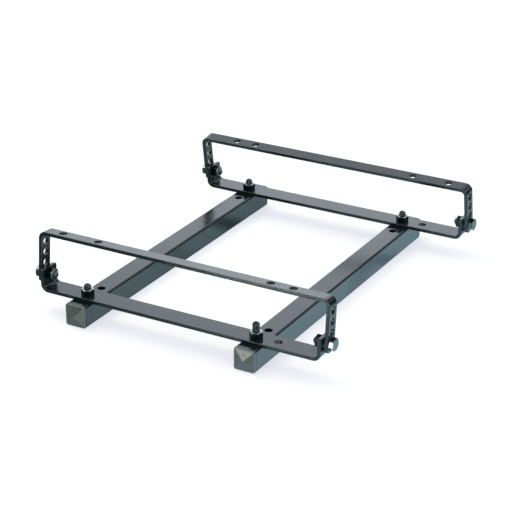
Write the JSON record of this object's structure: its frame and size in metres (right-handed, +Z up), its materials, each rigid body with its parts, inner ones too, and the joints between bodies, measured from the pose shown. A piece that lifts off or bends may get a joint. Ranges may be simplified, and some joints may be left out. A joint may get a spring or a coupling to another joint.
{
  "type": "seat subframe",
  "caption": "Black steel subframe for a vehicle seat: box-section crossbars carry flat side rails, with drilled seat bars bolted between their upturned ears.",
  "frame": {"origin": "on the floor, midway along the rails and midway between them", "axes": "+X to the front along the rails, +Y to the left along the crossbars, +Z up"},
  "size_m": [0.3648, 0.408, 0.0921],
  "materials": {
    "black_coat": "satin black powder coat",
    "dark_fastener": "black zinc, bright on worn corners",
    "plug_plastic": "moulded, fine matt grain"
  },
  "bodies": {
    "base": {"front_crossbar": "black_coat", "front_left_cross_bolt": "dark_fastener", "front_left_cross_nut": "dark_fastener", "front_left_cross_washer": "dark_fastener", "front_left_end_plug": "plug_plastic", "front_right_cross_bolt": "dark_fastener", "front_right_cross_nut": "dark_fastener", "front_right_cross_washer": "dark_fastener", "front_right_end_plug": "plug_plastic", "left_front_pivot_bolt": "dark_fastener", "left_front_pivot_nut": "dark_fastener", "left_front_spacer_washer": "dark_fastener", "left_lower_rail": "black_coat", "left_rear_pivot_bolt": "dark_fastener", "left_rear_pivot_nut": "dark_fastener", "left_rear_spacer_washer": "dark_fastener", "rear_crossbar": "black_coat", "rear_left_cross_bolt": "dark_fastener", "rear_left_cross_nut": "dark_fastener", "rear_left_cross_washer": "dark_fastener", "rear_left_end_plug": "plug_plastic", "rear_right_cross_bolt": "dark_fastener", "rear_right_cross_nut": "dark_fastener", "rear_right_cross_washer": "dark_fastener", "rear_right_end_plug": "plug_plastic", "right_front_pivot_bolt": "dark_fastener", "right_front_pivot_nut": "dark_fastener", "right_front_spacer_washer": "dark_fastener", "right_lower_rail": "black_coat", "right_rear_pivot_bolt": "dark_fastener", "right_rear_pivot_nut": "dark_fastener", "right_rear_spacer_washer": "dark_fastener"},
    "right_bar": {"right_seat_bar": "black_coat"},
    "left_bar": {"left_seat_bar": "black_coat"}
  },
  "joints": [
    {"name": "right_bar_swing", "type": "hinge", "parent": "base", "child": "right_bar", "pos_m": [0, -0.176, 0.0425], "axis": [1, 0, 0], "range_deg": [-95, 135]},
    {"name": "left_bar_swing", "type": "hinge", "parent": "base", "child": "left_bar", "pos_m": [0, 0.176, 0.0425], "axis": [1, 0, 0], "range_deg": [-139, 91]}
  ]
}
